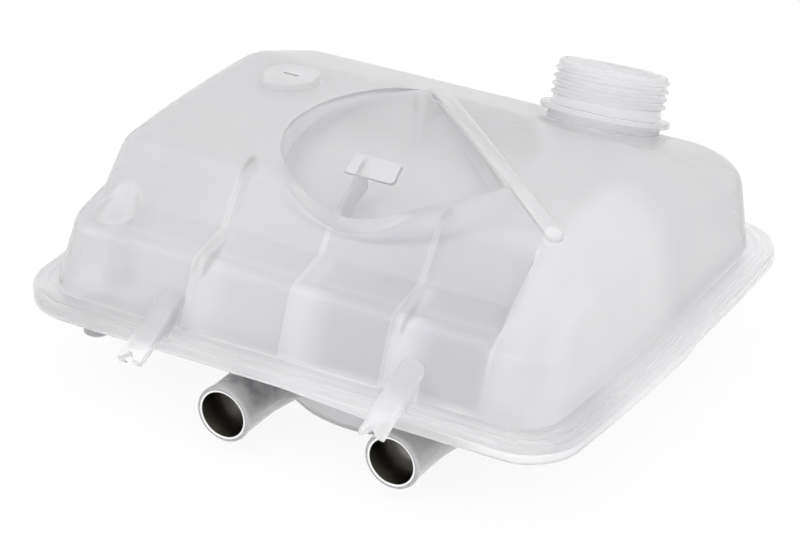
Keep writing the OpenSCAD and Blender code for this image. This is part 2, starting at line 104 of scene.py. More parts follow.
# The skin's profile from the rim over the ledge to the top: x is how far in, y how high
kneeOut = Vector((tank["ledgeOut"], tank["ledgeH"] - tank["ledgeDrop"]))
kneeIn = Vector((tank["ledgeIn"], tank["ledgeH"] + tank["ledgeRise"]))
kneeTop = Vector((tank["topIn"], frontZ))
topEnd = Vector((tank["topIn"] + tank["topRun"], frontZ))
footArc = [Vector((tank["rimW"] + u, tank["rimT"] + v))
           for u, v in ((-0.6, 0), (0.5, 0.4), (1.3, 1.5), (2.0, 3), (2.4, 4.6))]
arcA = fillet(footArc[-1], kneeOut, kneeIn, tank["kneeOutR"], steps["fillet"])
arcB = fillet(kneeOut, kneeIn, kneeTop, tank["kneeInR"], steps["fillet"])
arcC = fillet(kneeIn, kneeTop, topEnd, tank["topEdgeR"], steps["fillet"] + steps["edge"])
profile = footArc + between(footArc[-1], arcA[0], 7) + arcA + between(arcA[-1], arcB[0], 3) \
    + arcB + between(arcB[-1], arcC[0], 6) + arcC
levels = len(profile)
lobeTop = arcC[3]


def profileNormal(k):
    d = (profile[min(levels - 1, k + 1)] - profile[max(0, k - 1)]).normalized()
    return Vector((-d.y, d.x))


# Place and height of the profile's point k, set back by off along its normal
def levelIn(k, off):
    return profile[k].x - off * profileNormal(k).x


def levelZ(k, off):
    return frontZ - off if k == levels - 1 else max(0, profile[k].y - off * profileNormal(k).y)


# The lobe has no ledge: its front runs straight from the outer knee to the top edge
def lobeIn(k, off):
    t = (profile[k].y - arcA[0].y) / (lobeTop.y - arcA[0].y)
    if t <= 0 or t >= 1:
        return levelIn(k, off)
    return arcA[0].x + t * (lobeTop.x - arcA[0].x) + off * tank["lobeOff"]


# How far in a wall stands at height z: drafted, then rounded by r up to zTop
def wallIn(z, base, draft, r, zTop):
    edge = r - math.sqrt(max(0, r * r - (z - zTop + r) ** 2)) if z > zTop - r else 0
    return base + draft * z + edge


# The tank is narrower at the front and back, by the bow on each side
def bowed(x, y):
    return x * (1 - tank["bow"] / halfW * (y / halfD) ** 2)


def cornerAt(r, inset, shrink="cornerShrink"):
    return max(tank["cornerMin"], r - tank[shrink] * inset)


def corners(left, right):
    return (cornerAt(tank["cornerFl"], left, "cornerShrinkLeft"), cornerAt(tank["cornerFr"], right),
            cornerAt(tank["cornerB"], right), cornerAt(tank["cornerB"], left, "cornerShrinkLeft"))


def spread(a, b, n):
    return [a + (b - a) * i / n for i in range(n + 1)]


# Every ring has the same points, so that rings can be lofted: y0 is the front, y1 the lobe's front
def ringPlan(x0, x1, y0, y1, yb, radii):
    rFl, rFr, rB, rBl = radii
    blend = tank["lobeBlend"]
    nc = steps["corner"]
    split = min(tank["lobeX"], x1 - rFr - tank["lobeMin"])
    out = [(x, y0) for x in spread(x0 + rFl, split - blend, steps["front"])]
    out += [(x, y1) for x in spread(split + blend, x1 - rFr, steps["lobe"])]

    def arc(cx, cy, r, start):
        return [(cx + r * math.cos(math.radians(start + 90 * i / nc)),
                 cy + r * math.sin(math.radians(start + 90 * i / nc))) for i in range(1, nc)]
    out += arc(x1 - rFr, y1 + rFr, rFr, -90)
    out += [(x1, y) for y in spread(y1 + rFr, yb - rB, steps["side"])]
    out += arc(x1 - rB, yb - rB, rB, 0)
    out += [(x, yb) for x in spread(x1 - rB, x0 + rBl, steps["back"])]
    out += arc(x0 + rBl, yb - rBl, rBl, 90)
    out += [(x0, y) for y in spread(yb - rBl, y0 + rFl, steps["side"])]
    out += arc(x0 + rFl, y0 + rFl, rFl, 180)
    return out


def upperPlan(k, off):
    z, zt = levelZ(k, off), frontZ - off
    base = tank["rimW"] + tank["sideGap"] + off
    left = wallIn(z, base, tank["sideDraft"], tank["leftEdge"] - off, zt)
    right = wallIn(z, base, tank["steepDraft"], tank["rightEdge"] - off, zt)
    back = wallIn(z, tank["rimW"] + tank["backGap"] + off, 0, tank["backEdge"] - off, zt)
    return ringPlan(-halfW + left, halfW - right, -halfD + levelIn(k, off), -halfD + lobeIn(k, off),
                    halfD - back, corners(left, right))


def upperRing(k, off):
    z, zt = levelZ(k, off), frontZ - off
    zb = z * (backZ - off) / zt
    return [(bowed(x, y), y, z + share(y) * (zb - z)) for x, y in upperPlan(k, off)]


def flangePlan(inset):
    return ringPlan(-halfW + inset, halfW - inset, -halfD + inset, -halfD + inset, halfD - inset,
                    corners(inset, inset))


def flangeRing(inset, z):
    return [(bowed(x, y), y, z) for x, y in flangePlan(inset)]


topMid = (0, (backY - halfD + tank["topIn"]) / 2)


# Rings that fill the top: s is their share of its size
def capRing(s, off):
    out = []
    for x, y in upperPlan(levels - 1, off):
        qx, qy = topMid[0] + (x - topMid[0]) * s, topMid[1] + (y - topMid[1]) * s
        out.append((bowed(qx, qy), qy, crown(qy) - off))
    return out


def upperRings(off):
    caps = [capRing(i / 25, off) for i in range(1, 24, 2)]
    return caps + [upperRing(k, off) for k in range(levels - 1, 0, -1)]


# Joins the rings to each other and both ends to a point
def loft(name, first, rings, last):
    n = len(rings[0])
    verts = [first] + [p for r in rings for p in r] + [last]
    faces = [(0, 1 + j, 1 + (j + 1) % n) for j in range(n)]
    for i in range(len(rings) - 1):
        for j in range(n):
            a, b = 1 + i * n + j, 1 + i * n + (j + 1) % n
            faces.append((a, a + n, b + n, b))
    base = 1 + (len(rings) - 1) * n
    faces += [(len(verts) - 1, base + (j + 1) % n, base + j) for j in range(n)]
    return meshObject(name, verts, faces)


def meshObject(name, verts, faces):
    mesh = bpy.data.meshes.new(name)
    mesh.from_pydata([(x * mm, y * mm, z * mm) for x, y, z in verts], [], faces)
    mesh.validate()
    bm = bmesh.new()
    bm.from_mesh(mesh)
    bmesh.ops.remove_doubles(bm, verts=bm.verts, dist=1e-7)
    bmesh.ops.recalc_face_normals(bm, faces=bm.faces)
    bm.to_mesh(mesh)
    bm.free()
    obj = bpy.data.objects.new(name, mesh)
    bpy.context.scene.collection.objects.link(obj)
    return obj


def smooth(obj, angle):
    mesh = obj.data
    for poly in mesh.polygons:
        poly.use_smooth = True
    mesh.set_sharp_from_angle(angle=math.radians(angle))
    return obj


# The tool is used up: its object goes once it has been joined or cut
def boolean(obj, tool, operation):
    mod = obj.modifiers.new("cut", "BOOLEAN")
    mod.operation = operation
    mod.object = tool
    mod.solver = "MANIFOLD"
    deps = bpy.context.evaluated_depsgraph_get()
    mesh = bpy.data.meshes.new_from_object(obj.evaluated_get(deps))
    obj.modifiers.clear()
    old = obj.data
    obj.data = mesh
    bpy.data.meshes.remove(old)
    bpy.data.objects.remove(tool)
    return obj


# The outline holds pairs of radius and height
def revolve(name, outline, seg, matrix):
    verts, faces = [], []
    n = len(outline)
    for s in range(seg):
        a = 2 * math.pi * s / seg
        verts += [(r * math.cos(a), r * math.sin(a), z) for r, z in outline]
    for s in range(seg):
        t = (s + 1) % seg
        for k in range(n):
            m = (k + 1) % n
            faces.append((s * n + k, t * n + k, t * n + m, s * n + m))
    obj = meshObject(name, verts, faces)
    obj.data.transform(matrix)
    return obj


def place(x, y, z, axis="X", angle=0):
    return Matrix.Translation((x * mm, y * mm, z * mm)) @ Matrix.Rotation(math.radians(angle), 4, axis)


# a and b are the two ends across the outline's plane
def prism(name, outline, a, b, plane="YZ"):
    def at(u, v, w):
        return {"YZ": (w, u, v), "XY": (u, v, w), "XZ": (u, w, v)}[plane]
    n = len(outline)
    verts = [at(u, v, a) for u, v in outline] + [at(u, v, b) for u, v in outline]
    faces = [tuple(range(n)), tuple(range(2 * n - 1, n - 1, -1))]
    faces += [(i, (i + 1) % n, (i + 1) % n + n, i + n) for i in range(n)]
    return meshObject(name, verts, faces)


# Upper moulding: the recess is a tilted cylinder that ends at the ridge
recess = {"r": 64, "x": 6, "y": -3, "z": 50, "tilt": 9.8, "h": 60, "reach": 300, "keepH": 120}
ridge = {"r": 4.2, "rise": 2.2, "base": 1.05, "sink": 0.7, "foot": 0.9, "from": (111, -54), "to": (-18, 58),
         "parts": 40, "arc": 14, "caps": 6}


def recessTool(name, grow):
    r, h, reach = recess["r"] + grow, recess["h"], recess["reach"]
    z = recess["z"] + recess["r"] * math.sin(math.radians(recess["tilt"])) - grow
    cyl = revolve(name, [(onAxis, 0), (r, 0), (r, h), (onAxis, h)], steps["wide"],
                  place(recess["x"], recess["y"], z, "X", recess["tilt"]))
    (ax, ay), (bx, by) = ridge["from"], ridge["to"]
    angle = math.atan2(ay - by, ax - bx)
    u, v = (math.cos(angle), math.sin(angle)), (-math.sin(angle), math.cos(angle))
    square = [(-reach, grow), (reach, grow), (reach, -reach), (-reach, -reach)]
    outline = [(ax + u[0] * s + v[0] * t, ay + u[1] * s + v[1] * t) for s, t in square]
    keep = prism(name + "Side", outline, 0, recess["keepH"], "XY")
    return boolean(cyl, keep, "INTERSECT")


# A bar with an arched section that follows the top's slope
def ridgeBar():
    (ax, ay), (bx, by) = ridge["from"], ridge["to"]
    n = ridge["parts"]
    path = []
    for i in range(n + 1):
        t = i / n
        x, y = ax + (bx - ax) * t, ay + (by - ay) * t
        path.append(Vector((x, y, crown(y) - ridge["sink"])))
    side = Vector((-(by - ay), bx - ax, 0)).normalized()
    stations = []
    for i, p in enumerate(path):
        d = (path[min(n, i + 1)] - path[max(0, i - 1)]).normalized()
        up = side.cross(d)
        stations.append((p, d, -up if up.z < 0 else up))
    r, arc, caps = ridge["r"], ridge["arc"], ridge["caps"]
    bends = [math.pi * i / arc for i in range(arc + 1)]
    section = [(-r, -ridge["foot"])]
    section += [(-r * math.cos(a), ridge["base"] + ridge["rise"] * math.sin(a)) for a in bends]
    section += [(r, -ridge["foot"])]
    seg = len(section)
    verts, faces = [], []

    def add(p, d, up, size, shift):
        for u, v in section:
            verts.append(tuple(p + d * shift + (side * u + up * v) * size))
    turns = [math.pi / 2 * (1 - (c + 0.1) / caps) for c in range(caps)]  # both ends are rounded
    for a in turns:
        add(*stations[0], math.cos(a), -r * math.sin(a))
    for station in stations:
        add(*station, 1, 0)
    for a in turns[::-1]:
        add(*stations[-1], math.cos(a), r * math.sin(a))
    m = len(verts) // seg
    for i in range(m - 1):
        for s in range(seg):
            t = (s + 1) % seg
            faces.append((i * seg + s, i * seg + t, (i + 1) * seg + t, (i + 1) * seg + s))
    faces += [tuple(range(seg)), tuple(range(m * seg - 1, (m - 1) * seg - 1, -1))]
    return meshObject("ridgeBar", verts, faces)


neck = {"d": 58, "pitch": 4, "thread": 1.5, "h": 22, "bore": 49, "collarD": 66, "collarT": 3, "lean": 21.5,
        "x": 63.5, "y": 87, "z": 66, "bossL": 26, "bossWall": 4, "foot": 1.2, "bevel": 0.6,
        "turns": 4.5, "start": 1.5, "halfT": 1.3, "seg": 96, "fadeSteps": 14}
neckMatrix = place(neck["x"], neck["y"], neck["z"], "X", -neck["lean"])
coreR = neck["d"] / 2 - neck["thread"]
boreR = neck["bore"] / 2


def neckTube():
    bossR, bossL, h = boreR + neck["bossWall"], neck["bossL"], neck["h"]
    ct, cr, foot, bevel = neck["collarT"], neck["collarD"] / 2, neck["foot"], neck["bevel"]
    outline = [(boreR, -bossL), (bossR, -bossL), (bossR, -ct - foot), (bossR + foot, -ct),
               (cr - bevel, -ct), (cr, -ct + bevel), (cr, -bevel), (cr - bevel, 0),
               (coreR + 1, 0), (coreR, 1), (coreR, h - 0.8), (coreR - 0.3, h - 0.2), (coreR - 0.9, h),
               (boreR + 0.5, h), (boreR, h - 0.5)]
    return revolve("neckTube", outline, steps["neck"], neckMatrix)


# The thread's ridge winds up the core; x of its shape is along the neck, y the share of its height
def neckThread():
    n = int(neck["turns"] * neck["seg"])
    half = neck["halfT"]
    shape = [(-half - 0.2, -0.4), (-half, 0), (-0.55, 0.85), (-0.3, 1), (0.3, 1), (0.55, 0.85), (half, 0),
             (half + 0.2, -0.4)]
    verts, faces = [], []
    for s in range(n + 1):
        a = 2 * math.pi * s / neck["seg"]
        fade = max(0.1, min(1, min(s, n - s) / neck["fadeSteps"]))
        z = neck["start"] + half + neck["pitch"] * s / neck["seg"]
        for dz, dr in shape:
            r = coreR + (dr * neck["thread"] * fade if dr > 0 else dr)
            verts.append((r * math.cos(a), r * math.sin(a), z + dz))
    k = len(shape)
    for s in range(n):
        for i in range(k):
            j = (i + 1) % k
            faces.append((s * k + i, s * k + j, (s + 1) * k + j, (s + 1) * k + i))
    faces += [tuple(range(k)), tuple(range(n * k + k - 1, n * k - 1, -1))]
    obj = meshObject("neckThread", verts, faces)
    obj.data.transform(neckMatrix)
    return obj


def neckHole():
    low = -neck["bossL"] - 10
    outline = [(onAxis, low), (boreR, low), (boreR, 0), (onAxis, 0)]
    return revolve("neckHole", outline, steps["neck"], neckMatrix)


hook = {"pitch": 133, "x": 3, "w": 13, "out": 20, "root": 17, "rootZ": 17, "tipZ": -0.5, "rise": 2.6,
        "wall": 2, "underW": 0.75, "underRise": 1.2, "lift": 0.5, "notch": 2, "notchW": 4.5,
        "notchTip": 0.8, "cutZ": 14}


# An arched strap slopes down over the flange's edge to a notched tip
def hookStrap(outer, x):
    w, rise, wall = hook["w"] / 2, hook["rise"], hook["wall"]
    underW, underRise = w * hook["underW"], rise * hook["underRise"]
    run, climb = hook["out"] + hook["root"], hook["rootZ"] - hook["tipZ"]
    turns = [a * math.pi / 24 for a in range(-12, 13)]
    arch = [(w * math.sin(a), rise * math.cos(a)) for a in turns]
    under = [(underW * math.sin(a), underRise * math.cos(a) - underRise) for a in turns[::-1]]
    outline = [(-w, -rise)] + arch + [(w, -rise), (w - wall, -rise)] + under[1:-1] + [(-w + wall, -rise)]
    strap = prism("hookStrap", outline, 0, math.hypot(run, climb) + 2 * wall, "XZ")
    slope = math.degrees(math.atan2(climb, run))
    strap.data.transform(place(x, -halfD - hook["out"], hook["tipZ"], "X", slope))
    boolean(outer, strap, "UNION")
    edgeY, rootY, low = -halfD + 1, -halfD + hook["root"], tank["rimT"] - 1
    edgeZ = hook["tipZ"] + climb * (hook["out"] + 1) / run
    side = [(rootY, hook["rootZ"] + hook["lift"]), (edgeY, edgeZ + hook["lift"]), (edgeY, low), (rootY, low)]
    boolean(outer, prism("hookWedge", side, x - w + 1, x + w - 1), "UNION")
    tip = -halfD - hook["out"]
    notch = [(x - hook["notchW"], tip - 3), (x + hook["notchW"], tip - 3),
             (x + hook["notchTip"], tip + hook["notch"]), (x - hook["notchTip"], tip + hook["notch"])]
    boolean(outer, prism("hookNotch", notch, -hook["cutZ"], hook["cutZ"], "XY"), "DIFFERENCE")


baffle = {"pitch": 55, "t": 2.4, "depth": 48, "low": -2, "high": 90,
          "finT": 3.4, "finDepth": 7, "finSink": 1.3, "finLevel": 8}
ribPlaces = (-baffle["pitch"], 0, baffle["pitch"])


def finOutline(off, depth):
    rows = range(baffle["finLevel"], levels)
    side = [(-halfD + levelIn(k, off), levelZ(k, off)) for k in rows]
    back = [(-halfD + levelIn(k, off + depth), levelZ(k, off + depth)) for k in rows]
    return side + back[::-1]


# Ribs and post are cut out of the hollow's tool, so they stay standing when it is taken away
def keepRibs(inner):
    half, low, high = baffle["t"] / 2, baffle["low"], baffle["high"]
    depth = -halfD + tank["rimW"] + baffle["depth"]
    for x in ribPlaces:
        outline = [(-halfD, low), (depth, low), (depth, high), (-halfD, high)]
        boolean(inner, prism("plate", outline, x - half, x + half), "DIFFERENCE")
    fin, half = finOutline(baffle["finSink"], baffle["finDepth"]), baffle["finT"] / 2
    for x in (ribPlaces[0], ribPlaces[2]):
        boolean(inner, prism("fin", fin, x - half, x + half), "DIFFERENCE")


post = {"x": -113, "y": -86, "r": 7.5, "headR": 12.5, "headZ": 27, "headRise": 8, "top": 48, "bevel": 1,
        "bore": 5, "boreTop": 33, "low": -2}


def keepPost(inner):
    r, headR, top, bevel, bore = post["r"], post["headR"], post["top"], post["bevel"], post["bore"]
    line = [(bore, post["low"]), (r, post["low"]), (r, post["headZ"] - post["headRise"]),
            (headR, post["headZ"]), (headR, top - bevel), (headR - bevel, top),
            (onAxis, top), (onAxis, post["boreTop"]), (bore, post["boreTop"])]
    boolean(inner, revolve("postIn", line, steps["small"], place(post["x"], post["y"], 0)), "DIFFERENCE")


port = {"r": 15.5, "h": 3.4, "round": 2.4, "foot": -1.3, "x": -84, "y": 26,
        "slotL": 9, "slotW": 1.5, "slotDeep": 0.8}


def portBoss():
    r, h, q = port["r"], port["h"], port["round"]
    arc = [(r - q + q * math.cos(a * math.pi / 16), h - q + q * math.sin(a * math.pi / 16)) for a in range(9)]
    outline = [(onAxis, port["foot"]), (r, port["foot"])] + arc + [(onAxis, h)]
    return revolve("portBoss", outline, steps["round"], place(port["x"], port["y"], crown(port["y"])))


def portSlot():
    x, y, u, v = port["x"], port["y"], port["slotL"] / 2, port["slotW"] / 2
    top = crown(port["y"]) + port["h"]
    outline = [(x - u, y - v), (x + u, y - v), (x + u, y + v), (x - u, y + v)]
    return prism("slot", outline, top - port["slotDeep"], top + 3, "XY")


tab = {"w": 27, "l": 11.5, "t": 2.4, "bevel": 1.5, "x": 7, "y": -47.6, "z": 70.5, "tilt": 37.4,
       "web": [(-20, -13.5), (-15, -10.5), (-8, -6.5), (-2.5, -4.5), (0.5, -1), (9, 5.5), (9, -11),
               (-12, -20), (-20, -18)]}


def tabPlate(outer):
    half = baffle["t"] / 2
    web = [(tab["y"] + u, tab["z"] + v) for u, v in tab["web"]]
    boolean(outer, prism("tabWeb", web, -half, half), "UNION")
    w, length, b = tab["w"] / 2, tab["l"], tab["bevel"]
    outline = [(-w, 0), (w - b, 0), (w, b), (w, length - b), (w - b, length), (-w, length)]
    plate = prism("tabPlate", outline, -tab["t"], 0, "XY")
    plate.data.transform(place(tab["x"], tab["y"], tab["z"], "X", tab["tilt"]))
    boolean(outer, plate, "UNION")


# Pairs of inset and height, from the wall's foot over the weld beads to the flange's edge
def upperRim():
    rimT, rimW = tank["rimT"], tank["rimW"]
    rows = ((rimW - 0.6, rimT), (8.2, rimT), (7.9, rimT + 0.25), (5.6, rimT + 0.25), (5.3, rimT), (4.4, rimT),
            (4, rimT - 0.7), (2.4, rimT - 0.7), (2.2, rimT - 1), (0.8, rimT - 1), (0.2, rimT - 1.4),
            (0, rimT - 2), (0, 0))
    return [flangeRing(inset, z) for inset, z in rows]


def upperShell():
    wall = tank["wall"]
    x, y = topMid
    outer = loft("upperShell", (x, y, crown(y)), upperRings(0) + upperRim(), (0, 0, 0))
    inner = loft("upperInner", (x, y, crown(y) - wall),
                 upperRings(wall) + [flangeRing(tank["rimW"] + wall, -1)], (0, 0, -1))
    boolean(inner, recessTool("recessGrown", wall), "DIFFERENCE")
    keepRibs(inner)
    keepPost(inner)
    boolean(outer, neckTube(), "UNION")
    boolean(outer, portBoss(), "UNION")
    for s in (-1, 1):
        hookStrap(outer, hook["x"] + s * hook["pitch"] / 2)
    boolean(outer, inner, "DIFFERENCE")
    boolean(outer, neckHole(), "DIFFERENCE")
    boolean(outer, portSlot(), "DIFFERENCE")
    boolean(outer, recessTool("recessCut", 0), "DIFFERENCE")
    boolean(outer, ridgeBar(), "UNION")
    boolean(outer, neckThread(), "UNION")
    tabPlate(outer)
    return outer


# Lower moulding
bowl = {"h": 31, "draft": 0.28, "edge": 12, "frontZ": 5, "frontRun": 8, "frontSlope": 1.75,
        "rows": [4.5, 6, 8, 10, 12, 14, 16, 18, 19.5, 21, 22.5, 24, 25.5, 27, 28.3, 29.3, 30.1, 30.7,
                 30.95, 31]}
sump = {"r": 72, "draft": 6, "z": 39, "top": 14, "x": 24, "y": -31, "round": 4}
pin = {"r": 7, "bevel": 1, "root": 5.4, "gap": 4, "pad": 2.5, "step": 0.6, "padIn": 0.4, "shaftIn": 0.2}
spigot = {"bore": 23.3, "sleeveT": 0.7, "sleeveL": 38, "gap": 0.02, "t": 1.5, "bead": 0.55, "beadL": 6,
          "beadRun": 2, "pitch": 90, "x": 24, "z": 24.5, "out": 3.5, "step": 4.5, "flare": 4, "rootY": 27,
          "rootL": 6, "l": 64}
sleeveR = spigot["bore"] / 2
spigotInR = sleeveR + spigot["sleeveT"]
spigotR = spigotInR + spigot["t"]
backR = sleeveR + spigot["sleeveT"] / 2


# The lip under the flange is deeper at the front right
def lip(y, x):
    if y > tank["lipY"]:
        return tank["lip"]
    return tank["lip"] + (tank["lipDeep"] - tank["lip"]) * min(1, max(0, (x - tank["lipX"]) / tank["lipRun"]))


# d is the depth below the weld
def bowlRing(d, off):
    base = tank["rimW"] + tank["sideGap"] + off
    side = wallIn(d, base, bowl["draft"], bowl["edge"] - off, bowl["h"] - off)
    front = side + bowl["frontSlope"] * ramp(d - bowl["frontZ"], bowl["frontRun"])
    plan = ringPlan(-halfW + side, halfW - side, -halfD + front, -halfD + front, halfD - side,
                    corners(side, side))
    return [(bowed(x, y), y, -d) for x, y in plan]


# The hollow ends at a shallower floor, so its last rings crowd together there, 0.001 mm apart
def bowlRings(off):
    floor, n = bowl["h"] - off, len(bowl["rows"])
    return [bowlRing(min(d, floor - 0.001 * (n - i)), off) for i, d in enumerate(bowl["rows"])]


def lipRing(inset, rise=0):
    return [(bowed(x, y), y, -tank["rimT"] - lip(y, x) + rise) for x, y in flangePlan(inset)]


def sumpTool(name, off):
    r1, r2 = sump["r"] - off - sump["draft"], sump["r"] - off
    z, q, top = -sump["z"] + off, sump["round"], -sump["top"]
    turns = [a * math.pi / 16 for a in range(9)]
    arc = [(r1 - q + q * math.sin(a), z + q - q * math.cos(a)) for a in turns]
    outline = [(onAxis, z)] + arc + [(r2, top), (onAxis, top)]
    return revolve(name, outline, steps["wide"], place(sump["x"], sump["y"], 0))


def pinTool(name, outline):
    return revolve(name, outline, steps["small"], place(pinTip[0], pinTip[1], 0))


def pinPad():
    r, low, top = pin["r"] + pin["pad"], -pin["root"] - 1, pin["padIn"] - tank["rimT"]
    return pinTool("pinPad", [(onAxis, low), (r, low), (r, top), (onAxis, top)])


def pinPocket(name, off):
    r, top, low, step = pin["r"] + pin["gap"] + off, -pin["root"] + off, -bowl["h"] - 1, pin["step"]
    return pinTool(name, [(onAxis, low), (r, low), (r, top - step), (r - step, top), (onAxis, top)])


def pinShaft():
    r, tip, top, bevel = pin["r"], pinTip[2], pin["shaftIn"] - tank["rimT"], pin["bevel"]
    return pinTool("pinOut", [(onAxis, tip), (r - bevel, tip), (r, tip + bevel), (r, top), (onAxis, top)])


# s is -1 for the left spigot and 1 for the right one
def spigotMatrix(s):
    x = spigot["x"] + s * spigot["pitch"] / 2
    return place(x, -halfD - spigot["out"] + s * spigot["step"] / 2, -spigot["z"], "X", -90)


def spigotTube(s):
    length, run, root = spigot["l"], spigot["beadRun"], spigot["rootY"]
    bead = spigotR + spigot["bead"]
    outline = [(onAxis, 0), (bead - 0.8, 0), (bead - 0.2, 0.5), (bead, 1.2), (bead, run + 0.6),
               (bead - 0.15, run + 1.6), (spigotR, run + spigot["beadL"] - 1), (spigotR, root),
               (spigotR + 0.4, root + spigot["rootL"]), (spigotR + spigot["flare"], length), (onAxis, length)]
    return revolve("spigotOut", outline, steps["round"], spigotMatrix(s))


def spigotHole(s):
    r, deep, end = spigotInR + spigot["gap"], spigot["sleeveL"], spigot["l"] + 1
    outline = [(onAxis, -1), (r, -1), (r, deep), (backR, deep), (backR, end), (onAxis, end)]
    return revolve("spigotHole", outline, steps["round"], spigotMatrix(s))


def lowerRim():
    rimT = tank["rimT"]
    weld = ((0, -0.03), (0, -1.2), (0.25, -1.4), (0.25, -2.1), (0, -2.3))
    edge = ((0, 0.5), (0.4, 0.05), (0.8, 0), (2.8, 0), (3.2, 0.3))
    rings = [flangeRing(inset, z) for inset, z in weld] + [lipRing(inset, rise) for inset, rise in edge]
    return rings + [flangeRing(3.5, -rimT), flangeRing(tank["rimW"], -rimT)]


def lowerShell():
    wall = tank["wall"]
    outer = loft("lowerShell", (0, 0, -0.03), lowerRim() + bowlRings(0), (0, 0, -bowl["h"]))
    inner = loft("lowerInner", (0, 0, 1), [flangeRing(tank["rimW"] + wall, 1)] + bowlRings(wall),
                 (0, 0, -bowl["h"] + wall))
    boolean(outer, pinPad(), "UNION")
    boolean(outer, pinPocket("pinPocket", 0), "DIFFERENCE")
    boolean(outer, sumpTool("sumpOut", 0), "UNION")
    for s in (-1, 1):
        boolean(outer, spigotTube(s), "UNION")
    boolean(inner, pinPocket("pinStep", wall), "DIFFERENCE")
    boolean(outer, inner, "DIFFERENCE")
    boolean(outer, sumpTool("sumpIn", wall), "DIFFERENCE")
    for s in (-1, 1):
        boolean(outer, spigotHole(s), "DIFFERENCE")
    boolean(outer, pinShaft(), "UNION")
    return outer


def sleeve(name, s):
    r, t, length = sleeveR, spigot["sleeveT"], spigot["sleeveL"]
    outline = [(r, 0.35), (r + 0.2, 0), (r + t + 0.15, -0.15), (r + t + 0.35, 0), (r + t, 0.4),
               (r + t, length), (r, length)]
    return revolve(name, outline, steps["neck"], spigotMatrix(s))


# Materials
def newMaterial(name):
    mat = bpy.data.materials.new(name)
    mat.use_nodes = True
    nodes = mat.node_tree.nodes
    nodes.clear()
    out = nodes.new("ShaderNodeOutputMaterial")
    shader = nodes.new("ShaderNodeBsdfPrincipled")
    mat.node_tree.links.new(shader.outputs[0], out.inputs[0])
    return mat, nodes, mat.node_tree.links, shader


def fillSocket(links, value, socket):
    if hasattr(value, "links"):
        links.new(value, socket)
    else:
        socket.default_value = value


# Short names for the shader nodes that masks and mixes are made of
class Graph:
    def __init__(self, tree):
        self.nodes, self.links = tree.nodes, tree.links

    def math(self, op, a, b=0.0):
        node = self.nodes.new("ShaderNodeMath")
        node.operation = op
        fillSocket(self.links, a, node.inputs[0])
        fillSocket(self.links, b, node.inputs[1])
        return node.outputs[0]

    def fade(self, value, start, end, low=0.0, high=1.0):
        node = self.nodes.new("ShaderNodeMapRange")
        node.interpolation_type = "SMOOTHSTEP"
        for socket, v in zip(node.inputs, (value, start, end, low, high)):
            fillSocket(self.links, v, socket)
        return node.outputs[0]

    # 1 within half of the centre, 0 beyond half + soft
    def near(self, value, centre, half, soft):
        away = self.math("ABSOLUTE", self.math("SUBTRACT", value, centre))
        return self.fade(away, half, half + soft, 1.0, 0.0)

    def product(self, *values):
        out = values[0]
        for v in values[1:]:
            out = self.math("MULTIPLY", out, v)
        return out

    def highest(self, *values):
        out = values[0]
        for v in values[1:]:
            out = self.math("MAXIMUM", out, v)
        return out

    # a * x + b * y + c * z + d
    def plane(self, a, b, c, d):
        terms = [self.math("MULTIPLY", v, k) for v, k in ((self.x, a), (self.y, b), (self.z, c)) if k]
        out = terms[0]
        for t in terms[1:]:
            out = self.math("ADD", out, t)
        return self.math("ADD", out, d)

    def radius(self, x, y, cx, cy):
        dx, dy = self.math("SUBTRACT", x, cx), self.math("SUBTRACT", y, cy)
        squares = self.math("ADD", self.math("MULTIPLY", dx, dx), self.math("MULTIPLY", dy, dy))
        return self.math("SQRT", squares)

    def noise(self, vector, scale, detail=2.0):
        node = self.nodes.new("ShaderNodeTexNoise")
        node.inputs["Scale"].default_value = scale
        node.inputs["Detail"].default_value = detail
        self.links.new(vector, node.inputs["Vector"])
        return node.outputs["Fac"]

    def mix(self, fac, a, b):
        node = self.nodes.new("ShaderNodeMixRGB")
        for socket, v in zip(node.inputs, (fac, a, b)):
            fillSocket(self.links, v, socket)
        return node.outputs[0]

    def split(self, vector):
        node = self.nodes.new("ShaderNodeSeparateXYZ")
        self.links.new(vector, node.inputs[0])
        return node.outputs

    # Gives the masks the tank's own mm, and which way the surface faces
    def locate(self, position, normal):
        scale = self.nodes.new("ShaderNodeVectorMath")
        scale.operation = "MULTIPLY_ADD"
        self.links.new(position, scale.inputs[0])
        scale.inputs[1].default_value = (1 / mm, 1 / mm, 1 / mm)
        scale.inputs[2].default_value = pinTip
        self.at = scale.outputs[0]
        self.x, self.y, self.z = self.split(self.at)
        face = self.split(normal)
        self.side = self.fade(self.math("ABSOLUTE", face[0]), *plastic["sideFade"])
        self.upward = self.math("ABSOLUTE", face[2])
        self.outside = self.math("SUBTRACT", 1.0, self.side)
        self.dish = self.radius(self.x, self.y, recess["x"], recess["y"])
        self.fog = self.noise(self.at, plastic["fogScale"], 3)


def newGroup(name, inputs, outputs):
    tree = bpy.data.node_groups.new(name, "ShaderNodeTree")
    for label, kind in inputs:
        tree.interface.new_socket(name=label, in_out="INPUT", socket_type="NodeSocket" + kind)
    for label, kind in outputs:
        tree.interface.new_socket(name=label, in_out="OUTPUT", socket_type="NodeSocket" + kind)
    given = tree.nodes.new("NodeGroupInput").outputs
    return tree, Graph(tree), given, tree.nodes.new("NodeGroupOutput").inputs


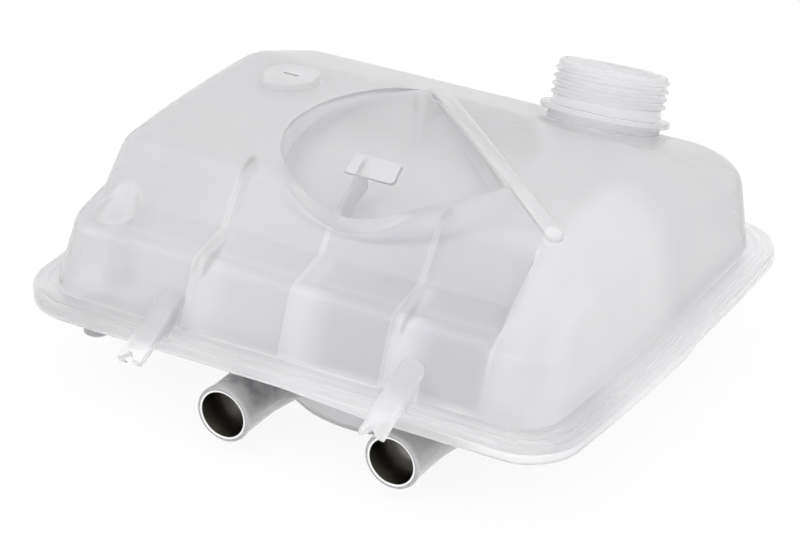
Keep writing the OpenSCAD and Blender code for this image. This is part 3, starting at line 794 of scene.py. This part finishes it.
# The four greys after cloud are painted shade, used by the shade masks below; color and cloud are the
# plastic's own tones
plastic = {"color": (0.97, 0.97, 0.98, 1), "cloud": (0.94, 0.94, 0.955, 1), "deep": (0.86, 0.855, 0.895, 1),
           "under": (0.78, 0.78, 0.79, 1), "dish": (0.88, 0.88, 0.89, 1), "paintedSleeveShade": (0.43, 0.43, 0.45, 1),
           "roughness": 0.25, "neckRoughness": 0.55, "coat": 0.6, "coatRoughness": 0.12, "ior": 1.49,
           "transmission": 0.7, "fog": 0.006, "fogScale": 0.035, "fogFade": (0.3, 0.7),
           "cloudFade": (0.35, 0.65), "sideFade": (0.7, 0.95),
           "grainScale": 900, "grainStrength": 0.05, "grainDepth": 0.0002}

# Painted light: how strongly the plastic glows, though it is no lamp, where ribs, rims and bosses make the
# wall thicker. A pair is where, in mm, a mask starts and where it is full; the other numbers are strengths,
# halves and centres
ribLook = {"seam": 0.05, "rib": 0.09, "half": 1.5, "middleHalf": 1.3, "soft": 0.5, "in": (-62, -67),
           "foot": (3, 5), "weight": (0.6, 1.5), "weightRun": 10,
           "band": 0.055, "bandStart": (-0.5, 1), "bandEnd": (5, 25), "bandIn": (-99, -101),
           "bandTop": (40, 36),
           "step": 0.03, "stepStart": (-1, 0.5), "stepEnd": (6, 13), "stepIn": (-74, -86),
           "stepFoot": (35, 37), "stepTop": (50, 44)}


# A stripe on the right of every rib, where painted glow bands go
def besideRibs(g, start, end):
    return g.highest(*[g.product(g.fade(g.x, x0 + start[0], x0 + start[1]),
                                 g.fade(g.x, x0 + end[0], x0 + end[1], 1.0, 0.0)) for x0 in ribPlaces])


# Painted light: the ribs glow, and soft bands of glow lie to the right of each rib
def ribGlow(g):
    look, pitch = ribLook, baffle["pitch"]
    halves = (look["half"], look["middleHalf"], look["half"])
    plates = g.highest(*[g.near(g.x, x0, half, look["soft"]) for x0, half in zip(ribPlaces, halves)])
    ribs = g.product(plates, g.fade(g.y, *look["in"]), g.fade(g.z, *look["foot"]))
    rib = g.product(ribs, g.fade(g.side, 0, 1, look["seam"], look["rib"]))
    weight = g.fade(g.x, -pitch, pitch + look["weightRun"], *look["weight"])
    band = g.product(weight, besideRibs(g, look["bandStart"], look["bandEnd"]), g.fade(g.y, *look["bandIn"]),
                     g.fade(g.z, *look["foot"]), g.fade(g.z, *look["bandTop"]), g.outside, look["band"])
    step = g.product(weight, besideRibs(g, look["stepStart"], look["stepEnd"]), g.fade(g.y, *look["stepIn"]),
                     g.fade(g.z, *look["stepFoot"]), g.fade(g.z, *look["stepTop"]), look["step"])
    return g.highest(rib, band, step)


# Painted light: the post and a vertical stripe at its place on the front wall glow, though no lamp
postLook = {"post": 0.06, "half": 10.5, "soft": 3.5, "foot": (3, 8),
            "tube": 0.022, "tubeX": 1, "tubeHalf": 5, "tubeSoft": 6, "in": (-92, -97), "tubeFoot": (4, 16),
            "tubeTop": (40, 34)}


def postGlow(g):
    look = postLook
    away = g.radius(g.x, g.y, post["x"], post["y"])
    inner = g.product(g.near(away, 0, look["half"], look["soft"]), g.fade(g.z, *look["foot"]), look["post"])
    tube = g.product(g.near(g.x, post["x"] + look["tubeX"], look["tubeHalf"], look["tubeSoft"]),
                     g.fade(g.y, *look["in"]), g.fade(g.z, *look["tubeFoot"]), g.fade(g.z, *look["tubeTop"]),
                     look["tube"])
    return g.highest(inner, tube)


# Painted light: the flange, the hooks (the right one most), the lobe, the knee, a line at the lobe's edge and
# an arc round the front right corner glow, though no lamp; hookShade is painted shade on the left hook
edgeLook = {"flange": 0.065, "flangeZ": -1.5, "flangeHalf": 5, "flangeSoft": 1.2, "cornerAt": (130, -105),
            "cornerRun": (15, 60), "cornerGlow": 0.02, "leftRun": (-110, -60), "leftShare": 0.5,
            "hookLeft": 0.004, "hookRight": 0.06, "hookRun": (-10, 10), "hookShade": 0.3,
            "strap": (0, 1, -0.387, 117.5), "strapIn": (-0.4, -1.2), "strapFoot": (-3.5, -2.5),
            "lobe": 0.032, "lobeRun": (100, 116), "lobeIn": (20, -10),
            "knee": 0.02, "kneeZ": 38.4, "kneeHalf": 0.6, "kneeSoft": 1.2, "kneeIn": (-92, -98),
            "kneeEnd": (108, 104),
            "line": 0.05, "lineHalf": 0.5, "lineSoft": 1, "lineIn": (-58, -64), "lineFoot": (14, 30),
            "arc": 0.03, "arcAt": (103, -84), "arcR": 30, "arcHalf": 3, "arcSoft": 5, "arcFlat": 0.8,
            "arcRun": (112, 118), "arcIn": (-96, -84), "arcFoot": (30, 44)}


# The hook straps lie in front of a sloping plane
def onStraps(g):
    return g.product(g.fade(g.plane(*edgeLook["strap"]), *edgeLook["strapIn"]),
                     g.fade(g.z, *edgeLook["strapFoot"]))


def edgeGlow(g):
    look = edgeLook
    corner = g.fade(g.radius(g.x, g.y, *look["cornerAt"]), *look["cornerRun"], look["cornerGlow"],
                    look["flange"])
    flange = g.product(g.near(g.z, look["flangeZ"], look["flangeHalf"], look["flangeSoft"]), corner,
                       g.fade(g.x, *look["leftRun"], look["leftShare"], 1.0))
    hooks = g.product(onStraps(g), g.fade(g.x, *look["hookRun"], look["hookLeft"], look["hookRight"]))
    lobe = g.product(g.fade(g.x, *look["lobeRun"]), g.fade(g.y, *look["lobeIn"]), look["lobe"])
    knee = g.product(g.near(g.z, look["kneeZ"], look["kneeHalf"], look["kneeSoft"]),
                     g.fade(g.y, *look["kneeIn"]), g.fade(g.x, *look["kneeEnd"]), g.outside, look["knee"])
    line = g.product(g.near(g.x, tank["lobeX"], look["lineHalf"], look["lineSoft"]),
                     g.fade(g.y, *look["lineIn"]), g.fade(g.z, *look["lineFoot"]), look["line"])
    flat = g.math("MULTIPLY", g.math("SUBTRACT", g.x, look["arcAt"][0]), look["arcFlat"])
    away = g.radius(flat, g.y, 0, look["arcAt"][1])
    arc = g.product(g.near(away, look["arcR"], look["arcHalf"], look["arcSoft"]),
                    g.fade(g.x, *look["arcRun"]), g.fade(g.y, *look["arcIn"]), g.fade(g.z, *look["arcFoot"]),
                    look["arc"])
    return g.highest(flange, hooks, lobe, knee, line, arc)


# Painted light: the ridge, a bright spot at its end, the port's cap and the dish's wall glow, though no lamp
topLook = {"ridge": 0.03, "ridgeOff": 0.6, "ridgeHalf": 4.2, "ridgeSoft": 1.2, "ridgeRun": (-5, 1),
           "ridgeFoot": (55, 60), "ridgeShare": 0.7, "ridgeDish": (8, 3),
           "end": 0.07, "endHalf": 3, "endSoft": 5, "endFoot": (60, 64), "port": 0.02, "portSoft": 1,
           "dishWall": 0.05, "wallOff": 1.5, "wallHalf": 2.4, "wallSoft": 1, "wallFoot": (46, 50),
           "wallSteep": (0.8, 0.6)}


def topGlow(g):
    look, r = topLook, recess["r"]
    (ax, ay), (bx, by) = ridge["from"], ridge["to"]
    length = math.hypot(ax - bx, ay - by)
    across = g.plane((ay - by) / length, (bx - ax) / length, 0, (ax * by - bx * ay) / length)
    start, full = look["ridgeRun"]
    byDish = g.fade(g.dish, r + look["ridgeDish"][0], r + look["ridgeDish"][1],
                    look["ridge"] * look["ridgeShare"], look["ridge"])
    bar = g.product(g.near(across, look["ridgeOff"], look["ridgeHalf"], look["ridgeSoft"]),
                    g.fade(g.x, bx + start, bx + full), g.fade(g.x, ax - start, ax),
                    g.fade(g.z, *look["ridgeFoot"]), byDish)
    end = g.product(g.near(g.radius(g.x, g.y, ax, ay), 0, look["endHalf"], look["endSoft"]),
                    g.fade(g.z, *look["endFoot"]), look["end"])
    cap = g.product(g.near(g.radius(g.x, g.y, port["x"], port["y"]), 0, port["r"], look["portSoft"]),
                    g.fade(g.z, *look["endFoot"]), look["port"])
    wall = g.product(g.near(g.dish, r + look["wallOff"], look["wallHalf"], look["wallSoft"]),
                     g.fade(g.z, *look["wallFoot"]), g.fade(g.upward, *look["wallSteep"]), look["dishWall"])
    return g.highest(bar, end, cap, wall)


# Painted light: the neck and its collar glow a little, though no lamp
neckLook = {"neck": 0.022, "foot": (-8, -4), "reach": (42, 35), "collar": 0.045, "collarAt": 1,
            "collarHalf": 3.5, "collarSoft": 1.5}


# above is measured along the leaning neck, from the top of its collar
def neckMasks(g):
    lean = math.radians(neck["lean"])
    s, c = math.sin(lean), math.cos(lean)
    above = g.plane(0, s, c, -neck["y"] * s - neck["z"] * c)
    off = g.plane(0, c, -s, neck["z"] * s - neck["y"] * c)
    within = g.fade(g.radius(g.x, off, neck["x"], 0), *neckLook["reach"])
    onNeck = g.product(g.fade(above, *neckLook["foot"]), within)
    collar = g.product(g.near(above, neckLook["collarAt"], neckLook["collarHalf"], neckLook["collarSoft"]),
                       within, neckLook["collar"])
    return onNeck, collar


# Painted shade, where the plastic is greyer: behind the ribs, under the tank, in the dish, over the left
# sleeve
paintedShadeLook = {"deepRun": (-45, 60), "deepEnd": (108, 104), "deepIn": (-58, -66), "deepFoot": (4, 9),
            "dishEdge": 6, "dishRun": (-20, 20), "dishFoot": (40, 44),
            "pinHalf": 9, "pinSoft": 1, "pinTop": (-5, -6), "sump": 0.35, "sumpTop": (-31, -35),
            "sumpIn": (-104, -98), "pipeHalf": 17, "pipeSoft": 2, "pipeFoot": (-27, -15),
            "pipeStart": (-129, -124), "pipeEnd": (-98, -106),
            "lines": 5.2, "linesFade": (-0.8, 0.9, 0.55, 1.0), "mottleScale": 0.16, "mottleFade": (0.35, 0.6)}


def paintedShadeMasks(g):
    look = paintedShadeLook
    deep = g.product(g.fade(g.x, *look["deepRun"]), g.fade(g.x, *look["deepEnd"]),
                     g.fade(g.y, *look["deepIn"]), g.outside, g.fade(g.z, *look["deepFoot"]))
    atPin = g.near(g.radius(g.x, g.y, pinTip[0], pinTip[1]), 0, look["pinHalf"], look["pinSoft"])
    right, left = edgeLook["hookRun"][::-1]
    # Painted shade under the flange: at the pin, on the sump and on the left hook
    below = g.highest(g.product(atPin, g.fade(g.z, *look["pinTop"])),
                      g.product(g.fade(g.z, *look["sumpTop"]), g.fade(g.y, *look["sumpIn"]), look["sump"]),
                      g.product(onStraps(g), g.fade(g.x, right, left, 0.0, edgeLook["hookShade"])))
    dishFloor = g.product(g.fade(g.dish, recess["r"], recess["r"] - look["dishEdge"]),
                          g.fade(g.y, *look["dishRun"]), g.fade(g.z, *look["dishFoot"]))
    return deep, below, dishFloor


# Painted: the metal sleeve and its dark streaked reflections, as if seen through the left spigot's wall
def paintedSleeveMask(g):
    look = paintedShadeLook
    away = g.radius(g.x, g.z, spigot["x"] - spigot["pitch"] / 2, -spigot["z"])
    pipe = g.product(g.near(away, 0, look["pipeHalf"], look["pipeSoft"]), g.fade(g.z, *look["pipeFoot"]),
                     g.fade(g.y, *look["pipeStart"]), g.fade(g.y, *look["pipeEnd"]))
    lines = g.fade(g.math("SINE", g.math("MULTIPLY", g.y, look["lines"])), *look["linesFade"])
    mottle = g.fade(g.noise(g.at, look["mottleScale"], 4), *look["mottleFade"])
    return g.product(pipe, lines, mottle)


def paintedLightGroup():
    tree, g, given, made = newGroup("paintedLightPlastic", [("Position", "Vector"), ("Normal", "Vector")],
                                    [("Glow", "Color"), ("Tint", "Color"), ("Gloss", "Float"),
                                     ("Roughness", "Float")])
    g.locate(given["Position"], given["Normal"])
    onNeck, collar = neckMasks(g)
    # Painted light: the glows of collar, neck, ribs, post, edges and top, with a faint glow that varies at
    # random, feed the emission
    glow = g.highest(collar, g.product(onNeck, neckLook["neck"]), ribGlow(g), postGlow(g), edgeGlow(g),
                     topGlow(g))
    glow = g.math("ADD", glow, g.fade(g.fog, *plastic["fogFade"], 0.0, plastic["fog"]))
    grey = tree.nodes.new("ShaderNodeCombineXYZ")
    for k in range(3):
        g.links.new(glow, grey.inputs[k])
    g.links.new(grey.outputs[0], made["Glow"])
    # Painted shade: these masks grey the plastic's own cloudy colour behind the ribs, under the tank, in the
    # dish and over the left sleeve
    deep, below, dishFloor = paintedShadeMasks(g)
    cloudy = g.mix(g.fade(g.fog, *plastic["cloudFade"]), plastic["color"], plastic["cloud"])
    shaded = g.mix(below, g.mix(deep, cloudy, plastic["deep"]), plastic["under"])
    tinted = g.mix(dishFloor, shaded, plastic["dish"])
    g.links.new(g.mix(paintedSleeveMask(g), tinted, plastic["paintedSleeveShade"]), made["Tint"])
    g.links.new(g.math("MULTIPLY", onNeck, plastic["coat"]), made["Gloss"])
    g.links.new(g.fade(onNeck, 0, 1, plastic["roughness"], plastic["neckRoughness"]), made["Roughness"])
    return tree


def tankPlastic():
    mat, nodes, links, shader = newMaterial("tankPlastic")
    coord = nodes.new("ShaderNodeTexCoord")
    paintedLightNode = nodes.new("ShaderNodeGroup")
    paintedLightNode.node_tree = paintedLightGroup()
    links.new(coord.outputs["Object"], paintedLightNode.inputs["Position"])
    links.new(coord.outputs["Normal"], paintedLightNode.inputs["Normal"])
    for made, socket in (("Tint", "Base Color"), ("Glow", "Emission Color"), ("Gloss", "Coat Weight"),
                         ("Roughness", "Roughness")):
        links.new(paintedLightNode.outputs[made], shader.inputs[socket])
    shader.inputs["Coat Roughness"].default_value = plastic["coatRoughness"]
    shader.inputs["Emission Strength"].default_value = 1
    shader.inputs["IOR"].default_value = plastic["ior"]
    shader.inputs["Transmission Weight"].default_value = plastic["transmission"]
    grain = nodes.new("ShaderNodeTexNoise")
    grain.inputs["Scale"].default_value = plastic["grainScale"]
    links.new(coord.outputs["Object"], grain.inputs["Vector"])
    bump = nodes.new("ShaderNodeBump")
    bump.inputs["Strength"].default_value = plastic["grainStrength"]
    bump.inputs["Distance"].default_value = plastic["grainDepth"]
    links.new(grain.outputs["Fac"], bump.inputs["Height"])
    links.new(bump.outputs[0], shader.inputs["Normal"])
    return mat


# The sleeve's dark noise bands are painted dark reflections, and the near-white lip on faces turned to the
# front is a painted highlight
sleeveLook = {"color": (0.5, 0.485, 0.45, 1), "paintedReflectionDark": (0.18, 0.17, 0.155, 1), "lip": (0.93, 0.93, 0.93, 1),
              "roughness": 0.2, "bandScale": 60, "lipFrom": -0.3, "lipFull": -0.7}


def sleeveMetal():
    mat, nodes, links, shader = newMaterial("sleeveMetal")
    coord = nodes.new("ShaderNodeTexCoord")
    band = nodes.new("ShaderNodeTexNoise")
    band.inputs["Scale"].default_value = sleeveLook["bandScale"]
    links.new(coord.outputs["Object"], band.inputs["Vector"])
    tint = nodes.new("ShaderNodeMixRGB")
    tint.inputs[1].default_value = sleeveLook["color"]
    tint.inputs[2].default_value = sleeveLook["paintedReflectionDark"]
    links.new(band.outputs["Fac"], tint.inputs[0])
    face = nodes.new("ShaderNodeSeparateXYZ")
    links.new(coord.outputs["Normal"], face.inputs[0])
    # Painted highlight: faces turned to the front are made near white
    edge = nodes.new("ShaderNodeMapRange")
    edge.inputs["From Min"].default_value = sleeveLook["lipFrom"]
    edge.inputs["From Max"].default_value = sleeveLook["lipFull"]
    links.new(face.outputs[1], edge.inputs["Value"])
    bright = nodes.new("ShaderNodeMixRGB")
    bright.inputs[2].default_value = sleeveLook["lip"]
    links.new(edge.outputs[0], bright.inputs[0])
    links.new(tint.outputs[0], bright.inputs[1])
    links.new(bright.outputs[0], shader.inputs["Base Color"])
    shader.inputs["Metallic"].default_value = 1
    shader.inputs["Roughness"].default_value = sleeveLook["roughness"]
    return mat


# Pieces
plasticMat = tankPlastic()
metalMat = sleeveMetal()
upper = smooth(upperShell(), steps["shellAngle"])
print("stage: upper moulding", len(upper.data.polygons))
lower = smooth(lowerShell(), steps["shellAngle"])
print("stage: lower moulding", len(lower.data.polygons))
leftSleeve = smooth(sleeve("leftSleeve", -1), steps["sleeveAngle"])
rightSleeve = smooth(sleeve("rightSleeve", 1), steps["sleeveAngle"])
pieces = ((upper, plasticMat, "tank_plastic", "upper_shell"),
          (lower, plasticMat, "tank_plastic", "lower_shell"),
          (leftSleeve, metalMat, "sleeve_metal", "left_sleeve"),
          (rightSleeve, metalMat, "sleeve_metal", "right_sleeve"))
for obj, mat, slot, node in pieces:
    obj.data.transform(datum)
    obj.data.materials.clear()
    obj.data.materials.append(mat)
    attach(obj, "root")
    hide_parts(node)


# Studio, in metres from the middle of the flange, but the floor from the pin tip
studio = {"world": 1.0, "floorZ": -0.0285, "floorR": 6, "floorColor": (0.96, 0.96, 0.96, 1),
          "floorGlow": 1.01, "shadow": 0.12}
camera = {"azimuth": 31, "elevation": 27.5, "distance": 1.499, "target": (-0.006, 0.0031, -0.003),
          "lens": 135, "sensor": 36, "clipEnd": 50}
lights = {"keyLight": {"at": (-0.9, -1.2, 1.6), "size": 1.4, "power": 4},
          "fillLight": {"at": (1.4, -0.5, 1.0), "size": 1.2, "power": 2}}


def placeCamera():
    a, e = math.radians(camera["azimuth"]), math.radians(camera["elevation"])
    toward = Vector((math.sin(a) * math.cos(e), -math.cos(a) * math.cos(e), math.sin(e)))
    data = bpy.data.cameras.new("camera")
    data.lens, data.sensor_width = camera["lens"], camera["sensor"]
    data.clip_end = camera["clipEnd"]
    obj = bpy.data.objects.new("camera", data)
    obj.location = datum @ (Vector(camera["target"]) + toward * camera["distance"])
    obj.rotation_euler = toward.to_track_quat("Z", "Y").to_euler()
    bpy.context.scene.collection.objects.link(obj)
    bpy.context.scene.camera = obj


def areaLight(name, at, size, power):
    data = bpy.data.lights.new(name, "AREA")
    data.shape, data.size, data.energy = "DISK", size, power
    obj = bpy.data.objects.new(name, data)
    obj.location = datum @ Vector(at)
    obj.rotation_euler = Vector(at).to_track_quat("Z", "Y").to_euler()
    bpy.context.scene.collection.objects.link(obj)


def whiteWorld():
    world = bpy.data.worlds.new("studioWorld")
    bpy.context.scene.world = world
    world.use_nodes = True
    world.node_tree.nodes["Background"].inputs["Color"].default_value = (1, 1, 1, 1)
    world.node_tree.nodes["Background"].inputs["Strength"].default_value = studio["world"]


# White to all but diffuse rays; the camera still sees a share of the tank's shadow
def floorWhite():
    mat = bpy.data.materials.new("floorWhite")
    mat.use_nodes = True
    g = Graph(mat.node_tree)
    g.nodes.clear()
    diffuse = g.nodes.new("ShaderNodeBsdfDiffuse")
    diffuse.inputs["Color"].default_value = studio["floorColor"]
    shine = g.nodes.new("ShaderNodeEmission")
    shine.inputs["Strength"].default_value = studio["floorGlow"]
    path = g.nodes.new("ShaderNodeLightPath").outputs
    seen = g.math("MULTIPLY", path["Is Camera Ray"], 1 - studio["shadow"])
    white = g.highest(seen, path["Is Glossy Ray"], path["Is Transmission Ray"])
    mix = g.nodes.new("ShaderNodeMixShader")
    for socket, value in zip(mix.inputs, (white, diffuse.outputs[0], shine.outputs[0])):
        g.links.new(value, socket)
    g.links.new(mix.outputs[0], g.nodes.new("ShaderNodeOutputMaterial").inputs[0])
    return mat


def floorPlane():
    z, r = studio["floorZ"] / mm, studio["floorR"] / mm
    obj = meshObject("floor", [(-r, -r, z), (r, -r, z), (r, r, z), (-r, r, z)], [(0, 1, 2, 3)])
    obj.data.materials.append(floorWhite())


placeCamera()
whiteWorld()
floorPlane()
for name, values in lights.items():
    areaLight(name, **values)
bpy.context.scene.view_settings.view_transform = "Standard"
print("stage: studio")
